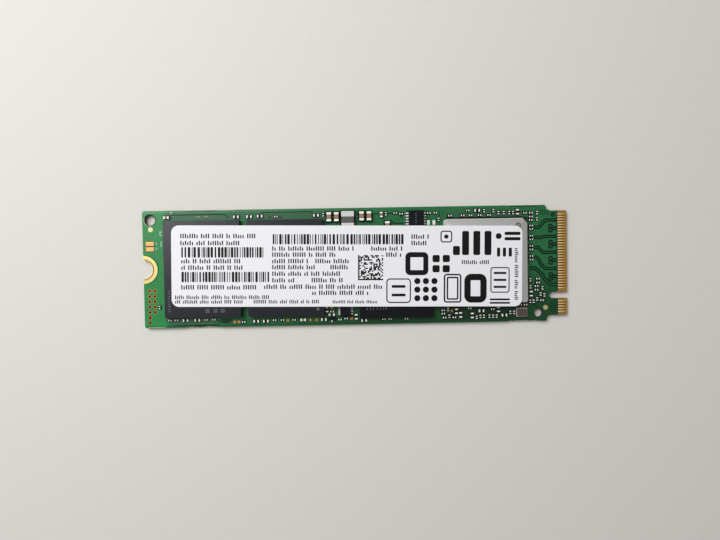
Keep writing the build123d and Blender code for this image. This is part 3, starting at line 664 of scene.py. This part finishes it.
# twin rings round the ground holes by the contacts, each pair with two stems, and one ring by itself
groundRings = {"width": 0.3 * mm, "rise": 0.01 * mm, "x": 36.8, "rows": (6.56, 3.52, 0.47, -2.6),
               "apart": 0.38, "radius": 0.33, "stem": 0.2, "stemFrom": 37.1, "stemTo": 38.0,
               "single": (37.3, 9.14, 0.28)}
ringPaths = [ringPath(*groundRings["single"])]
for row in groundRings["rows"]:
    for side in (1, -1):
        ringY, stemY = row + side * groundRings["apart"], row + side * groundRings["stem"]
        ringPaths.append(ringPath(groundRings["x"], ringY, groundRings["radius"]))
        ringPaths.append(([(groundRings["stemFrom"], stemY), (groundRings["stemTo"], stemY)], False))
drawCurve("groundRings", ringPaths, "maskInGaps", groundRings)

# edges of the copper pours and single gaps between parts
pourEdges = {
    "width": 0.17 * mm, "rise": 0.012 * mm,
    "paths": [
        [(-35.0, 9.6), (-34.8, 9.95), (-34.3, 10.15), (-24.6, 10.15), (-23.9, 9.5)],
        [(-18.2, 9.75), (-17.4, 10.4), (-8.4, 10.4), (-8.1, 9.8)],
        [(-16.5, 9.15), (-15.95, 9.65)], [(-14.35, 9.65), (-13.8, 9.15)],
        [(-26.3, -9.7), (-25.7, -10.15), (-24.1, -10.15)], [(-0.4, 10.45), (0.25, 10.1), (0.25, 9.6)],
        [(3.1, 8.2), (3.1, 9.5), (3.45, 9.82), (4.4, 9.82)], [(5.4, 9.82), (7.0, 9.82)],
        [(8.1, 9.55), (8.75, 8.95)], [(6.6, 8.5), (7.1, 7.95), (9.0, 7.95)], [(15.7, 9.9), (15.7, 9.0)],
        [(-34.5, -10.72), (-34.1, -10.6), (-26.5, -10.6), (-26.1, -10.72)], [(33.3, -7.7), (34.2, -8.4)],
    ],
}
drawCurve("pourEdges", openPaths(pourEdges["paths"]), "maskInGaps", pourEdges)

# the mask lies in the controller's shade along its upper and right sides, most at the corner between them
lidLow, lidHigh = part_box("controller_lid")
lidShade = {"width": 0.6 * mm, "rise": 0.006 * mm, "out": 0.1, "corner": 1.0, "ease": 0.1, "start": 0.6}
shadeX, shadeY = lidHigh.x / mm + lidShade["out"], lidHigh.y / mm + lidShade["out"]
shadePath = [(lidLow.x / mm + lidShade["start"], shadeY), (shadeX - lidShade["corner"], shadeY),
             (shadeX - lidShade["ease"], shadeY - lidShade["ease"]), (shadeX, shadeY - lidShade["corner"]),
             (shadeX, lidLow.y / mm)]
drawCurve("lidShade", openPaths([shadePath]), "blackGreenMaskAndShade", lidShade)
cornerShade = {"rise": 0.004 * mm, "field": [(-1.4, 0.12), (0.22, 0.12), (0.22, -1.3), (-0.3, -1.1)]}
cornerField = [(shadeX + dx, shadeY + dy) for dx, dy in cornerShade["field"]]
drawCurve("lidCornerShade", closedPaths([cornerField]), "blackGreenMaskAndShade", cornerShade)

# darker floor, and a dark ring at the rim, of the lid's first-pin dimple
dimple = {"insetX": 1.8, "insetY": 1.4, "depth": 0.05 * mm, "radius": 0.5, "floor": 0.47, "corners": 28}
dimpleX, dimpleY = lidHigh.x / mm - dimple["insetX"], lidHigh.y / mm - dimple["insetY"]
drawCurve("dimpleFloor", [ringPath(dimpleX, dimpleY, dimple["floor"], dimple["corners"])], "dullNickel",
          {"rise": 0.004 * mm}, lidHigh.z - dimple["depth"])
drawCurve("dimpleRim", [ringPath(dimpleX, dimpleY, dimple["radius"], dimple["corners"])], "weldedIronNickel",
          {"width": 0.1 * mm, "rise": 0.006 * mm}, lidHigh.z)

# painted shade where the mask laps over the inner ends of the contacts in a small step
maskStep = {"width": 0.25 * mm, "rise": 0.01 * mm, "x": contactLow.x / mm, "past": 0.3, "intoKey": 0.2}
stepSpans = ((contactLow.y / mm - maskStep["past"], keyLow / mm + maskStep["intoKey"]),
             (keyHigh / mm - maskStep["intoKey"], contactHigh.y / mm + maskStep["past"]))
stepPaths = [[(maskStep["x"], yFrom), (maskStep["x"], yTo)] for yFrom, yTo in stepSpans]
drawCurve("maskStep", openPaths(stepPaths), "deepMaskAndShade", maskStep)

# dark rims round the drilled holes: x, y, radius
holeRims = {"width": 0.16 * mm, "rise": 0.012 * mm, "corners": 32,
            "holes": ((-38.55, 9.25, 1.06), (34.35, -9.45, 0.86))}
rimPaths = [ringPath(*hole, holeRims["corners"]) for hole in holeRims["holes"]]
drawCurve("holeRims", rimPaths, "deepMaskAndShade", holeRims)

# pale glass bared along the lower corner, and a painted highlight along the top edge beside the upper ledge
cutRims = {"width": 0.13 * mm, "rise": 0.012 * mm,
           "paths": [[(-39.4, -10.9), (-36.2, -10.9)], [(-25.9, 10.88), (-22.5, 10.92)]]}
drawCurve("cutRims", openPaths(cutRims["paths"]), "paleFibreAndHighlight", cutRims)

# a pale crescent at one side of the hole by the screw end, over its dark rim: painted highlight on a burr
holeBurrHighlight = {"width": 0.22 * mm, "rise": 0.018 * mm, "arc": (-38.55, 9.25, 1.11, 160, 280, 12)}
drawCurve("holeBurrHighlight", [arcPath(*holeBurrHighlight["arc"])], "paleFibreAndHighlight", holeBurrHighlight)

# the mask laps over the rim of the screw ring, whose inner edge is browner
screwX = boardLow.x / mm
ringLap = {"width": 0.24 * mm, "rise": 0.015 * mm, "arc": (screwX, 0, 2.74, -88.65, 88.65, 36)}
drawCurve("ringLap", [arcPath(*ringLap["arc"])], "solderMaskGreen", ringLap)
ringInnerBrown = {"width": 0.18 * mm, "rise": 0.004 * mm, "arc": (screwX, 0, 1.9, -87.3, 87.3, 30)}
drawCurve("ringInnerBrown", [arcPath(*ringInnerBrown["arc"])], "brownerGold", ringInnerBrown)

# covered pads: two pairs that carry no part, with the mask standing up over them; their pale rings are
# painted highlight
coveredPadHighlights = {"width": 0.11 * mm, "rise": 0.02 * mm, "xs": (-29.8, -29.35, -28.3, -27.85), "y": 9.68,
               "radius": 0.17, "corners": 12}
padPaths = [ringPath(x, coveredPadHighlights["y"], coveredPadHighlights["radius"], coveredPadHighlights["corners"])
            for x in coveredPadHighlights["xs"]]
drawCurve("coveredPadHighlights", padPaths, "paleFibreAndHighlight", coveredPadHighlights)
print("etched lines done")

# one ink stroke, modelled at unit size with its corners eased
strokeEase = 0.12
deselectAll()
bpy.ops.mesh.primitive_plane_add(size=1)
stroke = bpy.context.object
bpy.ops.object.mode_set(mode="EDIT")
bpy.ops.mesh.select_all(action="SELECT")
bpy.ops.mesh.bevel(offset=strokeEase, segments=1, affect="VERTICES")
bpy.ops.mesh.select_all(action="SELECT")
bpy.ops.mesh.extrude_region_move(TRANSFORM_OT_translate={"value": (0, 0, 1)})
bpy.ops.mesh.select_all(action="SELECT")
bpy.ops.mesh.normals_make_consistent(inside=False)
bpy.ops.object.mode_set(mode="OBJECT")
print("ink stroke has", len(stroke.data.polygons), "faces")


def inkStroke(x, y, width, height, level, thick):
    return copyShaped(stroke, placed(x * mm, y * mm, level, width * mm, height * mm, thick))


# the mask is painted nearly black in a band round every pad and some parts: the bare ring round each pad,
# with painted shade round it; shades, painted shade below the covered pads: x, y, width, height
clearanceAndShade = {
    "thick": 0.005 * mm,
    "margins": {"tiny_chip_ends": 0.2, "chip_resistor_ends": 0.2, "small_capacitor_ends": 0.22,
                "bulk_capacitor_ends": 0.3, "inductor_ends": 0.34, "inductor_body": 0.28,
                "bulk_capacitor_bodies": 0.24, "crystal_base": 0.22, "probe_pads": 0.1,
                "switch_chip_leads": 0.15, "sensor_chip_leads": 0.15, "transistor_leads": 0.15},
    "shades": ((-29.6, 9.5, 0.85, 0.34), (-28.1, 9.5, 0.85, 0.34)),
}
bands = []
for nodeName, margin in clearanceAndShade["margins"].items():
    for low, high in islandBoxes(nodeName):
        middle, size = (low + high) / 2 / mm, (high - low) / mm
        bands.append(inkStroke(middle.x, middle.y, size.x + 2 * margin, size.y + 2 * margin, boardTop,
                               clearanceAndShade["thick"]))
for shade in clearanceAndShade["shades"]:
    bands.append(inkStroke(*shade, boardTop, clearanceAndShade["thick"]))
finishPiece(joinPieces(bands, "padClearancesAndShade"), finish["blackGreenMaskAndShade"])

# torn glass where the card was broken out of its panel; spans: x from, x to, which long edge
tornEdges = {"count": 46, "edge": 10.94, "inset": 0.06, "wide": (0.08, 0.35), "tall": (0.04, 0.1),
             "level": boardTop - 0.3 * mm, "sag": 0.02 * mm, "thick": 0.04 * mm,
             "spans": ((-32.3, -26.3, -1), (28.4, 34.4, -1))}
random.seed(5)
bits = []
for xFrom, xTo, side in tornEdges["spans"]:
    for k in range(tornEdges["count"]):
        x = random.uniform(xFrom, xTo)
        y = side * (tornEdges["edge"] - random.uniform(0.0, tornEdges["inset"]))
        wide = random.uniform(*tornEdges["wide"])
        tall = random.uniform(*tornEdges["tall"])
        level = tornEdges["level"] - random.uniform(0.0, tornEdges["sag"])
        bits.append(inkStroke(x, y, wide, tall, level, tornEdges["thick"]))
finishPiece(joinPieces(bits, "tornEdges"), finish["paleFibreAndHighlight"])

# a few legend ticks printed on the mask, and last a painted highlight at the left end of the upper ledge: x,
# y, width, height
legendTicksAndGlint = {
    "thick": 0.008 * mm,
    "ticks": [(-36.75, 6.75, 0.1, 0.75), (-36.5, 7.05, 0.35, 0.1), (-36.55, 6.35, 0.3, 0.1),
              (-36.6, 4.75, 0.1, 1.1), (-37.55, 4.95, 0.1, 0.3), (-37.4, 4.75, 0.3, 0.08),
              (-37.55, 3.85, 0.1, 0.3), (-37.4, 4.05, 0.3, 0.08), (-34.55, 10.6, 0.3, 0.16)],
}
legendAndGlintStrokes = [inkStroke(*tick, boardTop, legendTicksAndGlint["thick"]) for tick in legendTicksAndGlint["ticks"]]
finishPiece(joinPieces(legendAndGlintStrokes, "legendTicksAndGlint"), finish["legendInkAndGlint"])

# dots of spare copper that even out the plating near both shoulders: x from, y from, count along, across
thievingDots = {"pitch": 0.36, "size": 0.22, "thick": 0.004 * mm,
                "fields": ((35.0, 9.25, 5, 3), (36.9, -9.2, 3, 5))}
dots = []
for xFrom, yFrom, countX, countY in thievingDots["fields"]:
    for i in range(countX):
        for j in range(countY):
            x, y = xFrom + i * thievingDots["pitch"], yFrom + j * thievingDots["pitch"]
            dots.append(inkStroke(x, y, thievingDots["size"], thievingDots["size"], boardTop,
                                  thievingDots["thick"]))
finishPiece(joinPieces(dots, "thievingDots"), finish["maskInGaps"])

# faint laser ticks on the moulded packages: xs, ys, width, height, the package they are on
laserTicks = {
    "thick": 0.004 * mm,
    "rows": [
        ((-27.9, -26.4, -25.1), (-7.62, -8.02), 0.85, 0.2, "flash_package_1"),
        ((-34.95,), [-4.0 - 0.48 * k for k in range(9)], 0.5, 0.14, "flash_package_1"),
        ((1.8, 2.4, 3.0, 3.7, 4.3, 4.9, 5.4), (-8.0,), 0.13, 0.42, "dram_package"),
        ((11.2,), [8.0 + 0.42 * k for k in range(5)], 0.3, 0.12, "switch_chip_body"),
    ],
}
laserStrokes = []
for xs, ys, wide, tall, nodeName in laserTicks["rows"]:
    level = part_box(nodeName)[1].z
    laserStrokes += [inkStroke(x, y, wide, tall, level, laserTicks["thick"]) for x in xs for y in ys]
finishPiece(joinPieces(laserStrokes, "laserTicks"), finish["laserScorchAndSheen"])

# the floor of the pin mark came off a polished pin of the mould; its paler grey is painted sheen
mouldDot = {"inset": 1.2, "depth": 0.05 * mm, "radius": 0.27, "rise": 0.004 * mm}
flashLow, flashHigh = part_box("flash_package_2")
dotRing = ringPath(flashHigh.x / mm - mouldDot["inset"], flashLow.y / mm + mouldDot["inset"],
                   mouldDot["radius"])
drawCurve("mouldDot", [dotRing], "laserScorchAndSheen", mouldDot, flashHigh.z - mouldDot["depth"])
print("board marks done")

# print on the label, drawn straight and then turned with it: it was stuck on a little askew
labelTurn = math.radians(-0.97)
inkThick = 0.006 * mm

# stripe fields: x from, x to, middle y, height
labelStripes = {
    "module": 0.15, "bars": (1, 1, 2, 2, 3, 3), "gaps": (1, 1, 1, 2, 2),
    "fields": [(-30.8, -15.7, 2.57, 1.96), (-30.8, -14.7, -2.0, 1.94), (-13.9, 10.4, 5.0, 1.92)],
}
random.seed(11)
bars = []
for xFrom, xTo, y, tall in labelStripes["fields"]:
    x = xFrom
    while x < xTo:
        bar = labelStripes["module"] * random.choice(labelStripes["bars"])
        bars.append(inkStroke(x + bar / 2, y, bar, tall, labelTop, inkThick))
        x += bar + labelStripes["module"] * random.choice(labelStripes["gaps"])
stripes = joinPieces(bars, "labelStripes")

# rows of plain ticks with the weight of small print: x from, x to, y, tick height
labelTicks = {
    "pen": 0.27, "pitch": 0.5, "heights": (1.0, 1.0, 0.72), "gap": 0.5, "fewest": 2, "most": 8,
    "rows": [
        (-30.85, -17.2, 5.6, 0.85), (-30.85, -19.4, 4.3, 0.85), (-30.7, -20.0, 0.95, 0.85),
        (-30.7, -19.6, -0.25, 0.85), (-30.75, -16.9, -3.9, 0.85), (-31.9, -14.3, -5.75, 0.7),
        (-31.9, -19.1, -6.6, 0.7), (-17.4, -5.2, -6.6, 0.7), (-2.7, 5.85, -6.65, 0.6),
        (-13.9, 1.2, 3.28, 0.85), (4.5, 10.1, 3.28, 0.85), (-13.9, -2.35, 2.15, 0.85),
        (7.3, 9.95, 2.15, 0.85), (-13.9, -7.4, 0.95, 0.85), (-5.9, 0.6, 0.95, 0.85),
        (-13.9, -5.9, -0.18, 0.85), (-3.1, 0.07, -0.18, 0.85), (-13.9, -0.9, -1.4, 0.85),
        (-13.9, -9.8, -2.6, 0.85), (-6.6, -0.9, -2.6, 0.85), (-15.4, 6.6, -3.83, 0.85),
        (-6.5, 3.8, -4.96, 0.85), (12.0, 15.0, 5.5, 0.85), (12.0, 15.0, 4.3, 0.85),
        (21.4, 26.6, 0.73, 0.75),
    ],
    "column": {"x": 31.6, "from": -6.2, "to": 3.4, "height": 0.7},
}


def tickPlaces(low, high, tall):
    # where the ticks of one row stand and how tall each is, in groups of uneven length
    places = []
    spot = low
    left = random.randint(labelTicks["fewest"], labelTicks["most"])
    while spot < high:
        places.append((spot, tall * random.choice(labelTicks["heights"])))
        spot += labelTicks["pitch"] * tall
        left -= 1
        if left == 0:
            spot += labelTicks["gap"] * tall
            left = random.randint(labelTicks["fewest"], labelTicks["most"])
    return places


random.seed(23)
tickStrokes = []
for xFrom, xTo, y, tall in labelTicks["rows"]:
    pen = labelTicks["pen"] * tall
    for x, high in tickPlaces(xFrom, xTo, tall):
        tickStrokes.append(inkStroke(x, y - (tall - high) / 2, pen, high, labelTop, inkThick))
column = labelTicks["column"]
pen = labelTicks["pen"] * column["height"]
for y, high in tickPlaces(column["from"], column["to"], column["height"]):
    x = column["x"] - (column["height"] - high) / 2
    tickStrokes.append(inkStroke(x, y, high, pen, labelTop, inkThick))
ticks = joinPieces(tickStrokes, "labelTicks")

# a field of scattered squares, full along two sides, each a little over its cell so that neighbours join
labelSquares = {"x": 1.93, "y": -2.63, "cell": 0.26, "size": 0.2704, "count": 18, "share": 0.5}
random.seed(37)
cells = []
for i in range(labelSquares["count"]):
    for j in range(labelSquares["count"]):
        onRim = i == 0 or j == 0
        if onRim or random.random() < labelSquares["share"]:
            cells.append(inkStroke(labelSquares["x"] + (i + 0.5) * labelSquares["cell"],
                                   labelSquares["y"] + (j + 0.5) * labelSquares["cell"],
                                   labelSquares["size"], labelSquares["size"], labelTop, inkThick))
squares = joinPieces(cells, "labelSquares")

# plain blocks, bars and frames at the right of the label
labelBadges = {
    "cornerSegments": 6,
    # single ones: x, y, width, height, corner, wall
    "single": [
        (18.4, 5.5, 2.2, 2.2, 0.5, 0.22), (18.4, 5.5, 0.8, 0.8, 0.38, 0), (20.3, 2.9, 1.3, 1.7, 0.3, 0),
        (28.2, 5.6, 1.1, 1.1, 0.53, 0), (30.8, 6.1, 3.0, 0.6, 0.25, 0), (30.8, 5.1, 3.0, 0.6, 0.25, 0),
        (12.9, 0.45, 4.3, 4.3, 0.9, 0.95), (9.5, -4.6, 4.6, 4.6, 0.7, 0.22), (9.5, -3.8, 2.6, 0.5, 0.2, 0),
        (9.5, -5.4, 2.6, 0.5, 0.2, 0), (19.6, -4.15, 3.3, 5.4, 0.5, 0.28),
        (19.6, -4.15, 2.2, 4.3, 0.3, 0.28), (23.9, -4.15, 4.2, 5.4, 1.3, 1.2),
        (28.5, -2.6, 3.6, 4.8, 0.5, 0.2), (28.5, -6.25, 3.8, 0.34, 0.12, 0),
        (28.5, -6.9, 3.8, 0.34, 0.12, 0),
    ],
    # rows and grids: x, y, width, height, corner, wall, how many along and across, how far apart
    "grids": [
        (22.0, 4.3, 1.3, 4.5, 0.3, 0, 3, 1, 2.1), (28.2, 2.6, 0.6, 1.7, 0.25, 0, 3, 1, 1.1),
        (28.5, -3.9, 2.4, 0.4, 0.15, 0, 1, 3, 1.3), (13.0, -6.0, 1.15, 1.15, 0.55, 0, 3, 3, 1.6),
        (16.5, -0.5, 1.35, 1.35, 0.3, 0, 2, 2, 1.9),
    ],
}


def badgeModel(width, height, corner, wall):
    # a rounded block, or its outline where it has a wall
    deselectAll()
    bpy.ops.mesh.primitive_plane_add(size=1)
    badge = bpy.context.object
    badge.scale = (width * mm, height * mm, 1)
    applyPlace(badge)
    bpy.ops.object.mode_set(mode="EDIT")
    bpy.ops.mesh.select_all(action="SELECT")
    bpy.ops.mesh.bevel(offset=corner * mm, segments=labelBadges["cornerSegments"], affect="VERTICES")
    bpy.ops.mesh.select_all(action="SELECT")
    if wall:
        bpy.ops.mesh.inset(thickness=wall * mm)
        bpy.ops.mesh.delete(type="FACE")
        bpy.ops.mesh.select_all(action="SELECT")
    bpy.ops.mesh.extrude_region_move(TRANSFORM_OT_translate={"value": (0, 0, inkThick)})
    bpy.ops.mesh.select_all(action="SELECT")
    bpy.ops.mesh.normals_make_consistent(inside=False)
    bpy.ops.object.mode_set(mode="OBJECT")
    return badge


blocks = []
for shape in [(*single, 1, 1, 0) for single in labelBadges["single"]] + labelBadges["grids"]:
    xFrom, yFrom, wide, tall, corner, wall, countX, countY, apart = shape
    model = badgeModel(wide, tall, corner, wall)
    for i in range(countX):
        for j in range(countY):
            spot = Vector(((xFrom + i * apart) * mm, (yFrom + j * apart) * mm, labelTop))
            blocks.append(copyShaped(model, Matrix.Translation(spot)))
    removeModel(model)
badges = joinPieces(blocks, "labelBadges")

for printed in (stripes, ticks, squares, badges):
    printed.rotation_euler.z = labelTurn
    printed.location = ((labelLow.x + labelHigh.x) / 2, (labelLow.y + labelHigh.y) / 2, 0)
    applyPlace(printed)
    finishPiece(printed, finish["transferInk"])
removeModel(stroke)
print("label print done")

# painted floor: pale warm grey, matte
floorLook = dict(dark="d6d4d0", light="dddbd7", grain=1.2, rough=0.75, bump=0.05)
floorSetup = {"size": 4, "drop": 0.02 * mm}
deselectAll()
bpy.ops.mesh.primitive_plane_add(size=floorSetup["size"], location=(0, 0, -floorSetup["drop"]))
floor = bpy.context.object
floor.name = "floor"
floor.data.materials.append(makeFinish("paintedFloor", **floorLook))

# a soft sky, a little stronger low down, and one large lamp at the upper left
lightSetup = {"sky": "fffdf9", "zenith": 0.28, "horizon": 0.42, "horizonUp": 0.1, "keyPower": 1.02,
              "keySize": 0.22, "keyPlace": (-0.16, 0.14, 0.26)}
world = bpy.data.worlds.new("studio")
scene.world = world
world.use_nodes = True
skyTree = world.node_tree
skyWay = addNode(skyTree, "TexCoord").outputs["Generated"]
skyUp = addNode(skyTree, "SeparateXYZ", None, {0: skyWay}).outputs["Z"]
skyRange = addNode(skyTree, "MapRange", smoothStep,
                   {"Value": skyUp, "From Min": lightSetup["horizonUp"], "From Max": 1.0,
                    "To Min": lightSetup["horizon"], "To Max": lightSetup["zenith"]})
setInputs(skyTree.nodes["Background"], {"Strength": skyRange, "Color": lightSetup["sky"]})

deselectAll()
bpy.ops.object.light_add(type="AREA", location=lightSetup["keyPlace"])
keyLamp = bpy.context.object
keyLamp.data.shape = "SQUARE"
keyLamp.data.size = lightSetup["keySize"]
keyLamp.data.energy = lightSetup["keyPower"]
keyLamp.rotation_euler = (-Vector(lightSetup["keyPlace"])).to_track_quat("-Z", "Y").to_euler()

# from straight above, a little askew; the turn is in degrees
cameraSetup = {"place": (-1.04 * mm, 1.90 * mm, 103.03 * mm), "turn": (-1.456, -0.945, -0.991),
               "lens": 27.09, "sensor": 36.0, "clipStart": 1 * mm}
bpy.ops.object.camera_add(location=cameraSetup["place"],
                          rotation=[math.radians(a) for a in cameraSetup["turn"]])
camera = bpy.context.object
camera.data.lens = cameraSetup["lens"]
camera.data.sensor_width = cameraSetup["sensor"]
camera.data.clip_start = cameraSetup["clipStart"]
scene.camera = camera
scene.view_settings.view_transform = "Standard"
print("floor, light and camera set")
